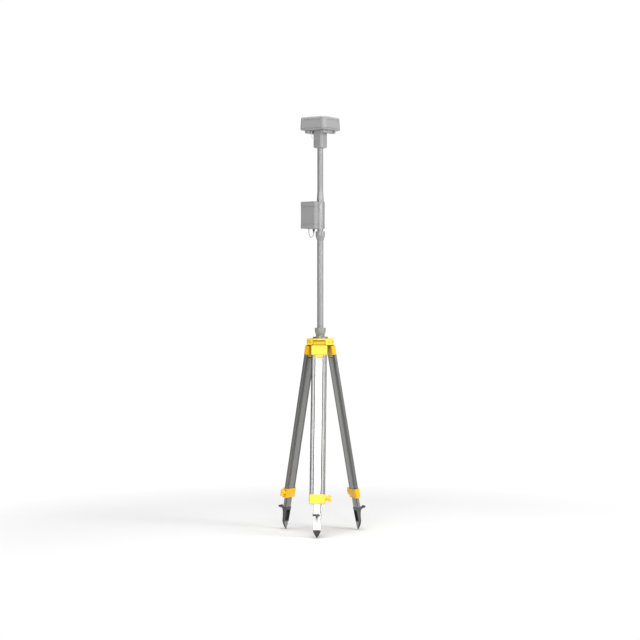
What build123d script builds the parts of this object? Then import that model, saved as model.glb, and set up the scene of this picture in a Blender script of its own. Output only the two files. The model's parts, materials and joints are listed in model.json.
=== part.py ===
from build123d import *
import math
import os

# GNSS receiver set: receiver head on a telescopic mast, a power and radio box clamped to the
# mast, and a heavy three-leg survey tripod with its legs pushed in.
# Millimetres, +Z up. The origin is on the mast axis, in the top face of the tripod head.
# The receiver and the box are square with X and Y.

# ---- tripod head ----
HEAD_R = 71.8
HEAD_FLANGE_T = 8.5
LOBE_R = 71.0
LOBE_BOTTOM = -34.0
HEAD_BORE_R = 30.0
SLOT_W = 66.0
SLOT_INNER = 37.0
HINGE_R = 50.0
HINGE_Z = -19.0
PIN_R = 4.0
PIN_LEN = 92.0
PIN_CLEARANCE = 0.06
PLATE_R = 31.8
PLATE_T = 4.0

# ---- centre fixing screw ----
SCREW_R = 7.94
SCREW_HOLE_R = 8.0
SCREW_BORE_R = 5.0
SCREW_TOP = 30.0
SCREW_BOTTOM = -85.0
KNOB_R = 25.0
KNOB_TOP = -50.0
KNOB_HUB_R = 14.0
KNOB_LOBES = 6

# ---- legs: x is outward, y is across, z is minus the distance below the hinge ----
LEG_ANGLES = {"a": -60.0, "b": 60.0, "c": 180.0}
LEG_LEAN = 10.2
KNUCKLE_R = 10.0
KNUCKLE_W = 64.0
SHOULDER_V = 19.0
YOKE_W = 85.0
YOKE_IN = -11.0
YOKE_OUT = 17.0
YOKE_CORNER_R = 6.0
YOKE_TOP_EDGE_R = 3.0
YOKE_FOOT_EDGE_R = 1.5
YOKE_BOTTOM_V = 68.0
YOKE_TONGUE_V = 81.0
YOKE_TONGUE_HALF = 21.0
YOKE_RELIEF = 1.0
YOKE_RIM = 8.0
YOKE_RIM_W = 24.0
NECK_FOOT_OUT = 5.0
LEG_W = 81.0
RAIL_W = 19.0
RAIL_IN = -2.0
RAIL_OUT = 16.0
RAIL_TOP_V = 42.0
RAIL_BOTTOM_V = 815.0
RAIL_WALL = 2.0
RAIL_FACE_WALL = 4.0
RAIL_FIT = 0.02
RAIL_CORNER_R = 1.6
RAIL_ROUND_R = 7.0
CHANNEL_HALF = 4.3
CHANNEL_DEPTH = 3.8
TONGUE_HALF = 4.0
TONGUE_DEPTH = 3.2
GROOVE_DEPTH = 2.0
GROOVE_NEAR = 7.5
GROOVE_FAR = 10.0
INNER_W = 40.2
INNER_IN = -4.0
INNER_OUT = 19.0
INNER_TOP_V = 85.0
INNER_BOTTOM_V = 918.0
INNER_WALL = 2.0
CLAMP_W = 84.6
CLAMP_IN = -7.5
CLAMP_OUT = 22.0
CLAMP_TOP_V = 800.0
CLAMP_BOTTOM_V = 850.0
CLAMP_GAP = 0.5
CLAMP_CORNER_R = 8.0
CLAMP_TOP_EDGE_R = 1.2
CLAMP_FOOT_EDGE_R = 3.0
BOSS_R = 10.0
BOSS_LEN = 5.0
LOCK_V = 820.0
LOCK_R = 3.0
LOCK_REACH = 73.5
LOCK_HUB_R = 10.5
WING_SPAN = 38.0
WING_T = 10.0
SHOE_W = 44.0
SHOE_BODY_W = 41.0
SHOE_IN = -6.0
SHOE_OUT = 21.0
SHOE_TOP_V = 903.0
SHOE_SLEEVE_V = 920.0
SHOE_BOTTOM_V = 984.0
SHOE_WALL = 2.4
SHOE_TOE_OUT = 9.5
TREAD_V = 909.0
TREAD_T = 4.5
TREAD_W = 36.0
TREAD_REACH = 50.0
TREAD_LIP = 5.0
RIB_W = 8.0
TIP_V = 1023.0
# sections of the tip: outward, down, depth, width, corner radius
TIP_SECTIONS = [
    (3.2, SHOE_BOTTOM_V, 12.0, 40.5, 4.0),
    (1.0, SHOE_BOTTOM_V + 12, 11.5, 35.0, 4.5),
    (-2.5, SHOE_BOTTOM_V + 26, 9.0, 20.0, 4.0),
    (-7.0, TIP_V, 2.4, 3.2, 1.0),
]

# ---- mast ----
FLANGE_R = 40.0
FLANGE_T = 9.0
SOCKET_R = 28.9
SOCKET_NECK_R = 23.0
SOCKET_NECK_Z = 17.5
SOCKET_SHOULDER_Z = 36.0
SOCKET_TOP = 56.7
TUBE_SEAT_Z = 34.0
LOWER_R = 16.6
LOWER_BORE_R = 15.575
LOWER_TOP = 545.0
COLLET_R = 20.0
COLLET_BORE_R = 15.55
COLLET_TOP = 560.0
COLLAR_R = 24.75
COLLAR_BOTTOM = 518.0
COLLAR_SHOULDER = 542.0
COLLAR_TOP = 567.0
COLLAR_GRIPS = 24
UPPER_R = 15.5
UPPER_BORE_R = 14.3
UPPER_BOTTOM = 100.0
UPPER_TOP = 1004.0
BUSH_BOTTOM = 84.0
BUSH_SPIGOT_TOP = 118.0
SLEEVE_R = 16.3
SLEEVE_BOTTOM = 572.0
SLEEVE_FLARE_Z = 727.0
SLEEVE_FLARE_R = 18.4
SLEEVE_TOP = 776.0
SLEEVE_TIP_R = 15.9
STUD_FLANGE_TOP = 1007.4
STUD_PLUG_Z = 985.0
STUD_TOP = 1032.0

# ---- power and radio box ----
BOX_IN = 4.0
BOX_OUT = -100.0
BOX_HALF_Y = 47.0
BOX_CORNER_R = 14.0
BOX_BOTTOM = 582.0
BOX_BOTTOM_BAND = 605.0
BOX_TOP_BAND = 697.0
BOX_TOP = 725.0
BOX_RECESS = 0.8
BOX_WALL = 2.6
BOX_CHANNEL_R = 18.0
GASKET_T = 1.4
RING_R = 20.0
RING_BORE_R = 16.4
RING_HEIGHT = 10.0
RING_BOTTOMS = (592.0, 716.0)
LUG_REACH = 9.0
LUG_HALF_Y = 29.0
RING_SCREW_Y = 24.5
RING_SCREW_R = 2.0
RING_SCREW_REACH = 17.0
RING_HEAD_R = 3.4
RING_HEAD_T = 2.6
RING_KEY_HOLE_R = 2.2
PORT_X = -42.0
PORT_R = 6.5
PORT_BORE_R = 4.5
GLAND_X = -73.0
GLAND_R = 4.5
PLUG_R = 5.8
PLUG_TOP_GAP = 3.0
CABLE_R = 2.6
CABLE_DROP = 30.0
BOX_BUTTON_Z = 665.0
BOARD_OUT = -90.0
BOARD_T = 1.8
CHIP_ZS = (630.0, 655.0, 678.0)
CELL_OUT = -78.0
CELL_IN = -26.0
CELL_HALF_Y = 36.0

# ---- receiver ----
HEAD_SIDE = 162.0
HEAD_TOP_SIDE = 155.0
HEAD_CORNER_R = 20.0
SHELL_BOTTOM = 1099.5
SEAL_Z = 1107.5
SEAL_T = 1.2
COVER_TOP = 1168.5
COVER_EDGE_R = 10.0
COVER_WALL = 3.0
SHELL_EDGE_R = 6.5
SHELL_WALL = 2.6
PANEL_DEPTH = 1.2
PANEL_HALF = 53.0
PANEL_BOTTOM = 1114.0
PANEL_TOP = 1154.0
GROUND_Z = 1119.0
NECK_SIDE = 60.0
NECK_CORNER_R = 16.0
NECK_BOTTOM = 1007.5
NECK_EDGE_R = 7.0
NECK_WALL = 3.0
INSERT_R = 12.0
INSERT_BOTTOM = 1010.5
INSERT_TOP = 1036.0
BATTERY_NEAR = 33.0
BATTERY_FAR = 64.0
BATTERY_HALF_Y = 56.0
BATTERY_BOTTOM = 1083.5
NOTCH_Y = (16.0, 38.0)
NOTCH_DEPTH = 5.0
BATTERY_GAP = 0.4
RAIL_HEAD_W = 8.0
RAIL_STEM_W = 4.0
RAIL_DROP = 6.0
RAIL_Y = 34.0
BUTTON_R = 6.0
BUTTON_Z = 1046.0
LENS_Z = 1070.0
LENS_W = 26.0
LENS_H = 9.0
SCREW_PITCH = 64.0
HOUSING_SCREW_R = 1.5
SCREW_HEAD_R = 3.2
BOSS_POST_R = 4.5
WIRE_HOLE_R = 9.0
BOARD_SIDE = 90.0
BOARD_POST = 38.0
GROUND_SIDE = 124.0
GROUND_POST = 50.0
PATCH_R = 46.0
CABLE_HALF_T = 1.6
CABLE_ENTRY_Z = 1057.0
CABLE_ENTRY_X = -18.0
CABLE_BELLY_X = -27.0
CABLE_BELLY_Y = -40.0


# ---- small helpers ----
def turned(points):
    """Solid turned about Z from a closed outline of (radius, z) points."""
    outline = Polyline(*[(r, 0, z) for r, z in points], close=True)
    return revolve(make_face(outline), Axis.Z)


def disc(radius, z_low, z_high):
    return Pos(0, 0, z_low) * Cylinder(radius, z_high - z_low, align=(Align.CENTER, Align.CENTER, Align.MIN))


def ring(r_out, r_in, z_low, z_high):
    return disc(r_out, z_low, z_high) - disc(r_in, z_low - 1, z_high + 1)


def block(x_low, x_high, y_low, y_high, z_low, z_high):
    size = (x_high - x_low, y_high - y_low, z_high - z_low)
    middle = ((x_low + x_high) / 2, (y_low + y_high) / 2, (z_low + z_high) / 2)
    return Pos(*middle) * Box(*size)


def pad(x_low, x_high, y_low, y_high, z_low, z_high, corner):
    """Upright block with rounded vertical corners."""
    plan = RectangleRounded(x_high - x_low, y_high - y_low, corner)
    plan = Pos((x_low + x_high) / 2, (y_low + y_high) / 2, z_low) * plan
    return extrude(plan, amount=z_high - z_low, dir=(0, 0, 1))


def square_pad(side, corner, z_low, z_high):
    return pad(-side / 2, side / 2, -side / 2, side / 2, z_low, z_high, corner)


def bar_y(x, z, radius, y_low, y_high):
    """Round bar along Y."""
    bar = Rot(-90, 0, 0) * Cylinder(radius, y_high - y_low, align=(Align.CENTER, Align.CENTER, Align.MIN))
    return Pos(x, y_low, z) * bar


def bar_x(y, z, radius, x_low, x_high):
    """Round bar along X."""
    bar = Rot(0, 90, 0) * Cylinder(radius, x_high - x_low, align=(Align.CENTER, Align.CENTER, Align.MIN))
    return Pos(x_low, y, z) * bar


def edges_at(shape, z, tolerance=0.05):
    return shape.edges().filter_by(lambda e: abs(e.bounding_box().min.Z - z) < tolerance
                                   and abs(e.bounding_box().max.Z - z) < tolerance)


def outer_edges_at(shape, z, reach):
    """Edges in the level z that lie outside a square of half side reach."""
    return edges_at(shape, z).filter_by(
        lambda e: max(abs(e.center().X), abs(e.center().Y)) > reach)


def around(shape, angle):
    return Rot(0, 0, angle) * shape


def leg_place(shape, angle):
    """From the leg's own frame to where the leg stands."""
    leaned = Rot(0, -LEG_LEAN, 0) * shape
    return around(Pos(HINGE_R, 0, HINGE_Z) * leaned, angle)


def group(solids):
    return Compound(children=list(solids))


# ---- tripod head ----
def tripod_head():
    body = disc(HEAD_R, -HEAD_FLANGE_T, 0)
    body = fillet(edges_at(body, 0), 1.5)
    lower = disc(LOBE_R, LOBE_BOTTOM, -HEAD_FLANGE_T)
    for angle in LEG_ANGLES.values():
        slot = block(SLOT_INNER, HEAD_R + 10, -SLOT_W / 2, SLOT_W / 2, LOBE_BOTTOM - 1, -HEAD_FLANGE_T)
        lower -= around(slot, angle)
    rim = edges_at(lower, LOBE_BOTTOM).filter_by(
        lambda e: math.hypot(e.center().X, e.center().Y) > HINGE_R + 10 and e.geom_type == GeomType.CIRCLE)
    lower = fillet(rim, 3.0)
    body += lower
    body -= disc(HEAD_BORE_R, LOBE_BOTTOM - 1, 1)
    for angle in LEG_ANGLES.values():
        body -= around(bar_y(HINGE_R, HINGE_Z, PIN_R, -HEAD_R, HEAD_R), angle)
    return body


def hinge_pins():
    pins = []
    for angle in LEG_ANGLES.values():
        pin = bar_y(HINGE_R, HINGE_Z, PIN_R, -PIN_LEN / 2, PIN_LEN / 2)
        pins.append(around(pin, angle))
    return group(pins)


def screw_plate():
    return ring(PLATE_R, SCREW_HOLE_R + 0.1, LOBE_BOTTOM - PLATE_T, LOBE_BOTTOM)


def fixing_screw():
    shaft = disc(SCREW_R, SCREW_BOTTOM, SCREW_TOP)
    shaft = chamfer(edges_at(shaft, SCREW_TOP), 1.2)
    return shaft - disc(SCREW_BORE_R, SCREW_BOTTOM - 1, SCREW_TOP + 1)


def fixing_knob():
    knob = disc(KNOB_R, SCREW_BOTTOM, KNOB_TOP)
    knob = fillet(edges_at(knob, SCREW_BOTTOM) + edges_at(knob, KNOB_TOP), 3.0)
    step = 360 / KNOB_LOBES
    for i in range(KNOB_LOBES):
        knob -= around(Pos(KNOB_R + 5, 0, 0) * disc(9.0, SCREW_BOTTOM - 1, KNOB_TOP + 1), i * step)
    knob += disc(KNOB_HUB_R, KNOB_TOP, LOBE_BOTTOM - PLATE_T - 0.1)
    return knob - disc(SCREW_R, SCREW_BOTTOM - 1, 0)


# ---- one leg ----
def hinge_block():
    knuckle = bar_y(0, 0, KNUCKLE_R, -KNUCKLE_W / 2, KNUCKLE_W / 2)
    neck = side_profile([Polyline(*side_points([
        (-KNUCKLE_R, 0),
        (KNUCKLE_R, 0),
        (NECK_FOOT_OUT, SHOULDER_V + 1),
        (-KNUCKLE_R, SHOULDER_V + 1),
    ]), close=True)], KNUCKLE_W / 2)
    yoke = pad(YOKE_IN, YOKE_OUT, -YOKE_W / 2, YOKE_W / 2, -YOKE_BOTTOM_V, -SHOULDER_V,
               YOKE_CORNER_R)
    yoke = fillet(edges_at(yoke, -SHOULDER_V), YOKE_TOP_EDGE_R)
    yoke = fillet(edges_at(yoke, -YOKE_BOTTOM_V), YOKE_FOOT_EDGE_R)
    body = knuckle + neck + yoke
    body += pad(RAIL_IN + 1, RAIL_OUT - 1, -YOKE_TONGUE_HALF, YOKE_TONGUE_HALF,
                -YOKE_TONGUE_V, -YOKE_BOTTOM_V + 1, 2.0)
    for side in (-1, 1):
        body -= rail_bar(side, -YOKE_BOTTOM_V - 1, -RAIL_TOP_V + RAIL_FIT, RAIL_FIT)
    body -= bar_y(0, 0, PIN_R + PIN_CLEARANCE, -KNUCKLE_W, KNUCKLE_W)
    # relief panel in the outer face
    body -= block(YOKE_OUT - YOKE_RELIEF, YOKE_OUT + 1, -YOKE_W / 2 + YOKE_RIM_W, YOKE_W / 2 - YOKE_RIM_W,
                  -YOKE_BOTTOM_V + YOKE_RIM, -SHOULDER_V - YOKE_RIM)
    return body


def rail_bar(side, z_low, z_high, grow=0.0):
    """Solid bar with the rail's outside: flat towards the inner leg, rounded away from it."""
    depth = RAIL_OUT - RAIL_IN + 2 * grow
    plan = Rectangle(depth, RAIL_W + 2 * grow)
    plan = fillet(plan.vertices().filter_by(lambda v: v.Y < 0), RAIL_CORNER_R)
    plan = fillet(plan.vertices().group_by(Axis.Y)[-1], RAIL_ROUND_R + grow)
    if side < 0:
        plan = mirror(plan, about=Plane.XZ)
    plan = Pos((RAIL_IN + RAIL_OUT) / 2, side * (LEG_W - RAIL_W) / 2, z_low) * plan
    return extrude(plan, amount=z_high - z_low, dir=(0, 0, 1))


def rail(side):
    """One leg rail: a hollow extrusion with a guide channel in its inner face."""
    low = -RAIL_BOTTOM_V - 1
    high = -RAIL_TOP_V + 1
    y_inner = LEG_W / 2 - RAIL_W
    y_outer = LEG_W / 2
    mid = (RAIL_IN + RAIL_OUT) / 2
    hollow_y = y_inner + CHANNEL_DEPTH + RAIL_WALL
    cuts = block(mid - CHANNEL_HALF, mid + CHANNEL_HALF, y_inner - 1, y_inner + CHANNEL_DEPTH, low, high)
    cuts += pad(RAIL_IN + RAIL_FACE_WALL, RAIL_OUT - RAIL_FACE_WALL, hollow_y, y_outer - RAIL_WALL,
                low, high, 3.0)
    # grooves along both wide faces
    for face in (RAIL_IN, RAIL_OUT):
        cuts += block(face - GROOVE_DEPTH, face + GROOVE_DEPTH,
                      y_outer - GROOVE_FAR, y_outer - GROOVE_NEAR, low, high)
    if side < 0:
        cuts = mirror(cuts, about=Plane.XZ)
    return rail_bar(side, -RAIL_BOTTOM_V, -RAIL_TOP_V) - cuts


def inner_leg():
    body = pad(INNER_IN, INNER_OUT, -INNER_W / 2, INNER_W / 2, -INNER_BOTTOM_V, -INNER_TOP_V, 2.5)
    mid = (RAIL_IN + RAIL_OUT) / 2
    reach = LEG_W / 2 - RAIL_W + TONGUE_DEPTH
    body += block(mid - TONGUE_HALF, mid + TONGUE_HALF, -reach, reach, -SHOE_TOP_V, -INNER_TOP_V)
    body -= block(INNER_IN + INNER_WALL, INNER_OUT - INNER_WALL,
                  -INNER_W / 2 + INNER_WALL, INNER_W / 2 - INNER_WALL,
                  -INNER_BOTTOM_V - 1, -INNER_TOP_V + 1)
    return body


def clamp_block():
    body = pad(CLAMP_IN, CLAMP_OUT, -CLAMP_W / 2, CLAMP_W / 2, -CLAMP_BOTTOM_V, -CLAMP_TOP_V,
               CLAMP_CORNER_R)
    body = fillet(edges_at(body, -CLAMP_TOP_V), CLAMP_TOP_EDGE_R)
    body = fillet(edges_at(body, -CLAMP_BOTTOM_V), CLAMP_FOOT_EDGE_R)
    boss_mid = (CLAMP_IN + CLAMP_OUT) / 2
    body += bar_y(boss_mid, -LOCK_V, BOSS_R, CLAMP_W / 2 - 1, CLAMP_W / 2 + BOSS_LEN)
    for side in (-1, 1):
        body -= rail_bar(side, -RAIL_BOTTOM_V, -CLAMP_TOP_V + 1, RAIL_FIT)
    half = LEG_W / 2 - RAIL_W
    body -= block(INNER_IN - CLAMP_GAP, INNER_OUT + CLAMP_GAP, -half, half,
                  -CLAMP_BOTTOM_V - 1, -CLAMP_TOP_V + 1)
    mid = (RAIL_IN + RAIL_OUT) / 2
    reach = half + CHANNEL_DEPTH
    body -= block(mid - CHANNEL_HALF, mid + CHANNEL_HALF, -reach, reach,
                  -CLAMP_BOTTOM_V - 1, -CLAMP_TOP_V + 1)
    body -= bar_y(boss_mid, -LOCK_V, LOCK_R + PIN_CLEARANCE, reach - 1, CLAMP_W)
    return body


def lock_screw():
    """Clamp screw with a two-wing head."""
    hub_start = CLAMP_W / 2 + BOSS_LEN + 0.3
    shank = bar_y(0, 0, LOCK_R, LEG_W / 2 - RAIL_W + CHANNEL_DEPTH + 0.6, hub_start + 1)
    hub = bar_y(0, 0, LOCK_HUB_R, hub_start, LOCK_REACH - 6)
    hub = fillet(hub.edges().filter_by(GeomType.CIRCLE), 1.6)
    wing = block(-WING_T / 2, WING_T / 2, hub_start + 8, LOCK_REACH, -WING_SPAN / 2, WING_SPAN / 2)
    wing = fillet(wing.edges().filter_by(Axis.X), 5.0)
    wing -= bar_x(LOCK_REACH + 9, 0, 13.0, -WING_T, WING_T)
    for end in (-1, 1):
        wing -= bar_x(hub_start + 3, end * (WING_SPAN / 2 + 1), 7.0, -WING_T, WING_T)
    return Pos((CLAMP_IN + CLAMP_OUT) / 2, 0, -LOCK_V) * (shank + hub + wing)


def side_points(points):
    """Points in the plane through the leg, from (outward, down)."""
    return [(outward, 0, -down) for outward, down in points]


def side_profile(curves, half_width):
    """Solid from a closed side outline, the same across its width."""
    return extrude(make_face(curves), amount=half_width, dir=(0, 1, 0), both=True)


def shoe_side(inset, bottom, outer_in):
    """Side outline of the shoe's body; its outer edge is a hollow curve from sleeve to toe."""
    top = SHOE_SLEEVE_V - 2
    inner_top, inner_foot, toe, heel = side_points([
        (SHOE_IN + 1 - inset, top),
        (SHOE_IN + 3 - inset, bottom),
        (SHOE_TOE_OUT - outer_in, bottom),
        (SHOE_OUT - 1 - outer_in, top),
    ])
    waist = side_points([(12.0 - outer_in, 956), (14.8 - outer_in, 936)])
    return [
        Polyline(heel, inner_top, inner_foot, toe),
        Spline(toe, *waist, heel),
    ]


def tread():
    """Foot tread with a turned-up end, on a curved centre rib."""
    plate = side_profile([Polyline(*side_points([
        (SHOE_IN, TREAD_V),
        (TREAD_REACH - 7, TREAD_V),
        (TREAD_REACH - 3, TREAD_V - 2),
        (TREAD_REACH - 1.5, TREAD_V - TREAD_LIP),
        (TREAD_REACH + 1.5, TREAD_V - TREAD_LIP),
        (TREAD_REACH + 1, TREAD_V),
        (TREAD_REACH - 3, TREAD_V + TREAD_T),
        (SHOE_IN, TREAD_V + TREAD_T),
    ]), close=True)], TREAD_W / 2)
    root, end, foot, heel = side_points([
        (SHOE_OUT - 3, TREAD_V + 1),
        (TREAD_REACH - 5, TREAD_V + TREAD_T - 1),
        (SHOE_OUT - 8, TREAD_V + 46),
        (SHOE_OUT - 11, TREAD_V + 46),
    ])
    hollow = side_points([(TREAD_REACH - 16, TREAD_V + 10), (SHOE_OUT + 2, TREAD_V + 20)])
    rib = side_profile([Polyline(foot, heel, root, end), Spline(end, *hollow, foot)], RIB_W / 2)
    return plate + rib


def shoe():
    body = side_profile(shoe_side(0, SHOE_BOTTOM_V, 0), SHOE_BODY_W / 2)
    body += pad(SHOE_IN, SHOE_OUT, -SHOE_W / 2, SHOE_W / 2, -SHOE_SLEEVE_V, -SHOE_TOP_V, 2.5)
    # open channel in the inner face
    body -= side_profile(shoe_side(8, SHOE_BOTTOM_V - 7, SHOE_WALL + 1), SHOE_BODY_W / 2 - SHOE_WALL)
    body += tread()
    body -= block(INNER_IN, INNER_OUT, -INNER_W / 2, INNER_W / 2, -INNER_BOTTOM_V, -SHOE_TOP_V + 1)
    return body


def shoe_tip():
    """Spike: flat sections that close in to a point at the inner side."""
    sections = []
    for outward, down, depth, width, corner in TIP_SECTIONS:
        sections.append(Pos(outward, 0, -down) * RectangleRounded(depth, width, corner))
    return loft(sections)


# ---- mast ----
def mast_flange():
    body = disc(FLANGE_R, 0, FLANGE_T)
    body = fillet(edges_at(body, FLANGE_T), 1.5)
    return body - disc(SCREW_HOLE_R, -1, FLANGE_T + 1)


def mast_socket():
    body = turned([
        (SCREW_HOLE_R, FLANGE_T),
        (SOCKET_NECK_R + 2.5, FLANGE_T),
        (SOCKET_NECK_R, FLANGE_T + 3),
        (SOCKET_NECK_R, SOCKET_NECK_Z),
        (SOCKET_R, SOCKET_SHOULDER_Z),
        (SOCKET_R, SOCKET_TOP - 1.5),
        (SOCKET_R - 1.5, SOCKET_TOP),
        (LOWER_R, SOCKET_TOP),
        (LOWER_R, TUBE_SEAT_Z),
        (SCREW_HOLE_R, TUBE_SEAT_Z),
    ])
    return body


def lower_mast_tube():
    return ring(LOWER_R, LOWER_BORE_R, TUBE_SEAT_Z, LOWER_TOP)


def mast_collet():
    return ring(COLLET_R, COLLET_BORE_R, LOWER_TOP, COLLET_TOP)


def mast_collar():
    gap = 0.1
    body = turned([
        (LOWER_R + gap, COLLAR_BOTTOM),
        (LOWER_R + 0.8, COLLAR_BOTTOM),
        (COLLAR_R, COLLAR_SHOULDER),
        (COLLAR_R, COLLAR_TOP - 1.5),
        (COLLAR_R - 1.5, COLLAR_TOP),
        (UPPER_R + gap, COLLAR_TOP),
        (UPPER_R + gap, COLLET_TOP + gap),
        (COLLET_R + gap, COLLET_TOP + gap),
        (COLLET_R + gap, LOWER_TOP - gap),
        (LOWER_R + gap, LOWER_TOP - gap),
    ])
    step = 360 / COLLAR_GRIPS
    for i in range(COLLAR_GRIPS):
        cutter = Pos(COLLAR_R + 0.7, 0, 0) * disc(1.5, COLLAR_SHOULDER + 1.5, COLLAR_TOP - 3)
        body -= around(cutter, i * step)
    return body


def upper_mast_tube():
    return ring(UPPER_R, UPPER_BORE_R, UPPER_BOTTOM, UPPER_TOP)


def mast_guide_bush():
    foot = disc(COLLET_BORE_R, BUSH_BOTTOM, UPPER_BOTTOM)
    spigot = disc(UPPER_BORE_R, UPPER_BOTTOM, BUSH_SPIGOT_TOP)
    return foot + spigot - disc(UPPER_BORE_R - 3, BUSH_BOTTOM - 1, BUSH_SPIGOT_TOP + 1)


def mast_sleeve():
    return turned([
        (UPPER_R, SLEEVE_BOTTOM),
        (SLEEVE_R, SLEEVE_BOTTOM),
        (SLEEVE_R, SLEEVE_FLARE_Z),
        (SLEEVE_FLARE_R, SLEEVE_FLARE_Z),
        (SLEEVE_TIP_R, SLEEVE_TOP),
        (UPPER_R, SLEEVE_TOP),
    ])


def mast_top_stud():
    body = disc(UPPER_BORE_R, STUD_PLUG_Z, UPPER_TOP)
    body += disc(UPPER_R, UPPER_TOP, STUD_FLANGE_TOP)
    stud = disc(SCREW_R, STUD_FLANGE_TOP, STUD_TOP)
    return body + chamfer(edges_at(stud, STUD_TOP), 1.2)


# ---- power and radio box ----
def box_outline(inset, z_low, z_high):
    return pad(BOX_OUT + inset, BOX_IN - inset, -BOX_HALF_Y + inset, BOX_HALF_Y - inset,
               z_low, z_high, BOX_CORNER_R - inset)


def mast_channel():
    return disc(BOX_CHANNEL_R, BOX_BOTTOM - 10, BOX_TOP + 10)


def ring_seats():
    seats = []
    for z in RING_BOTTOMS:
        seats.append(disc(RING_R, z, z + RING_HEIGHT))
        seats.append(block(-LUG_REACH, 0, -LUG_HALF_Y, LUG_HALF_Y, z, z + RING_HEIGHT))
    return seats


def ring_screw_spots():
    """Height and side of each clamp ring screw."""
    return [(z + RING_HEIGHT / 2, y) for z in RING_BOTTOMS for y in (-RING_SCREW_Y, RING_SCREW_Y)]


def cut_for_mast(body):
    """Channel, ring seats, threaded screw holes and key holes, cut in a part of the box."""
    body -= mast_channel()
    for seat in ring_seats():
        body -= seat
    for z, y in ring_screw_spots():
        body -= bar_x(y, z, RING_SCREW_R, -RING_SCREW_REACH, 0)
        body -= bar_x(y, z, RING_KEY_HOLE_R, -1, BOX_IN + 1)
    return body


def box_case():
    body = box_outline(BOX_RECESS, BOX_BOTTOM_BAND, BOX_TOP_BAND)
    cavity = pad(BOX_OUT + BOX_RECESS + BOX_WALL, -BOX_CHANNEL_R - BOX_WALL,
                 -BOX_HALF_Y + BOX_RECESS + BOX_WALL, BOX_HALF_Y - BOX_RECESS - BOX_WALL,
                 BOX_BOTTOM_BAND - 1, BOX_TOP_BAND + 1, BOX_CORNER_R - BOX_RECESS - BOX_WALL)
    body -= cavity
    body -= bar_x(0, BOX_BUTTON_Z, BUTTON_R + 0.1, BOX_OUT - 1, BOX_OUT + BOX_RECESS + BOX_WALL + 1)
    return cut_for_mast(body)


def box_top_cap():
    body = box_outline(0, BOX_TOP_BAND + GASKET_T, BOX_TOP)
    body = fillet(outer_edges_at(body, BOX_TOP, 0), 4.0)
    cavity = pad(BOX_OUT + 4, -BOX_CHANNEL_R - 4, -BOX_HALF_Y + 4, BOX_HALF_Y - 4,
                 BOX_TOP_BAND, BOX_TOP - 5, BOX_CORNER_R - 4)
    return cut_for_mast(body - cavity)


def box_bottom_cap():
    body = box_outline(0, BOX_BOTTOM, BOX_BOTTOM_BAND - GASKET_T)
    body = fillet(outer_edges_at(body, BOX_BOTTOM, 0), 4.0)
    cavity = pad(BOX_OUT + 4, -BOX_CHANNEL_R - 4, -BOX_HALF_Y + 4, BOX_HALF_Y - 4,
                 BOX_BOTTOM + 6, BOX_BOTTOM_BAND, BOX_CORNER_R - 4)
    body = cut_for_mast(body - cavity)
    body -= Pos(PORT_X, 0, 0) * disc(PORT_R, BOX_BOTTOM - 1, BOX_BOTTOM + 8)
    body -= Pos(GLAND_X, 0, 0) * disc(GLAND_R, BOX_BOTTOM - 1, BOX_BOTTOM + 8)
    return body


def box_gaskets():
    gaskets = []
    for z in (BOX_BOTTOM_BAND - GASKET_T, BOX_TOP_BAND):
        body = box_outline(BOX_RECESS + 0.6, z, z + GASKET_T)
        body -= pad(BOX_OUT + 5, -BOX_CHANNEL_R - 5, -BOX_HALF_Y + 5, BOX_HALF_Y - 5,
                    z - 1, z + GASKET_T + 1, BOX_CORNER_R - 5)
        gaskets.append(body - mast_channel())
    return group(gaskets)


def box_clamp_rings():
    rings = []
    for z in RING_BOTTOMS:
        body = disc(RING_R, z, z + RING_HEIGHT)
        body += block(-LUG_REACH, -1, -LUG_HALF_Y, LUG_HALF_Y, z, z + RING_HEIGHT)
        body -= disc(RING_BORE_R, z - 1, z + RING_HEIGHT + 1)
        for y in (-RING_SCREW_Y, RING_SCREW_Y):
            body -= bar_x(y, z + RING_HEIGHT / 2, RING_SCREW_R, -LUG_REACH - 1, 0)
            body -= bar_x(y, z + RING_HEIGHT / 2, RING_HEAD_R, -1 - RING_HEAD_T, 0)
        rings.append(body)
    return group(rings)


def box_clamp_screws():
    screws = []
    for z, y in ring_screw_spots():
        shank = bar_x(y, z, RING_SCREW_R, -RING_SCREW_REACH, -1 - RING_HEAD_T)
        head = bar_x(y, z, RING_HEAD_R, -1 - RING_HEAD_T, -1)
        socket = Pos(-1, y, z) * Rot(0, 90, 0) * RegularPolygon(1.7, 6)
        screws.append(shank + head - extrude(socket, amount=1.4, both=True))
    return group(screws)


def box_circuit_board():
    board = block(BOARD_OUT, BOARD_OUT + BOARD_T, -30, 30, BOX_BOTTOM_BAND + 8, BOX_TOP_BAND - 8)
    for z in CHIP_ZS:
        board += block(BOARD_OUT + BOARD_T, BOARD_OUT + BOARD_T + 3, -16, 8, z - 8, z + 8)
    return board


def box_battery():
    return pad(CELL_OUT, CELL_IN, -CELL_HALF_Y, CELL_HALF_Y, BOX_BOTTOM_BAND + 3, BOX_TOP_BAND - 6, 5.0)


def box_ports():
    """Socket for the plug and a gland for the cable's fixed end."""
    port = disc(PORT_R, BOX_BOTTOM - PLUG_TOP_GAP, BOX_BOTTOM + 8)
    port += disc(PORT_R + 1.5, BOX_BOTTOM - PLUG_TOP_GAP, BOX_BOTTOM)
    port -= disc(PORT_BORE_R, BOX_BOTTOM - PLUG_TOP_GAP - 1, BOX_BOTTOM + 5)
    gland = disc(GLAND_R, BOX_BOTTOM - 2, BOX_BOTTOM + 8)
    gland += disc(GLAND_R + 1.0, BOX_BOTTOM - 2, BOX_BOTTOM)
    gland -= disc(CABLE_R, BOX_BOTTOM - 3, BOX_BOTTOM + 5)
    return group([Pos(PORT_X, 0, 0) * port, Pos(GLAND_X, 0, 0) * gland])


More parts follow.
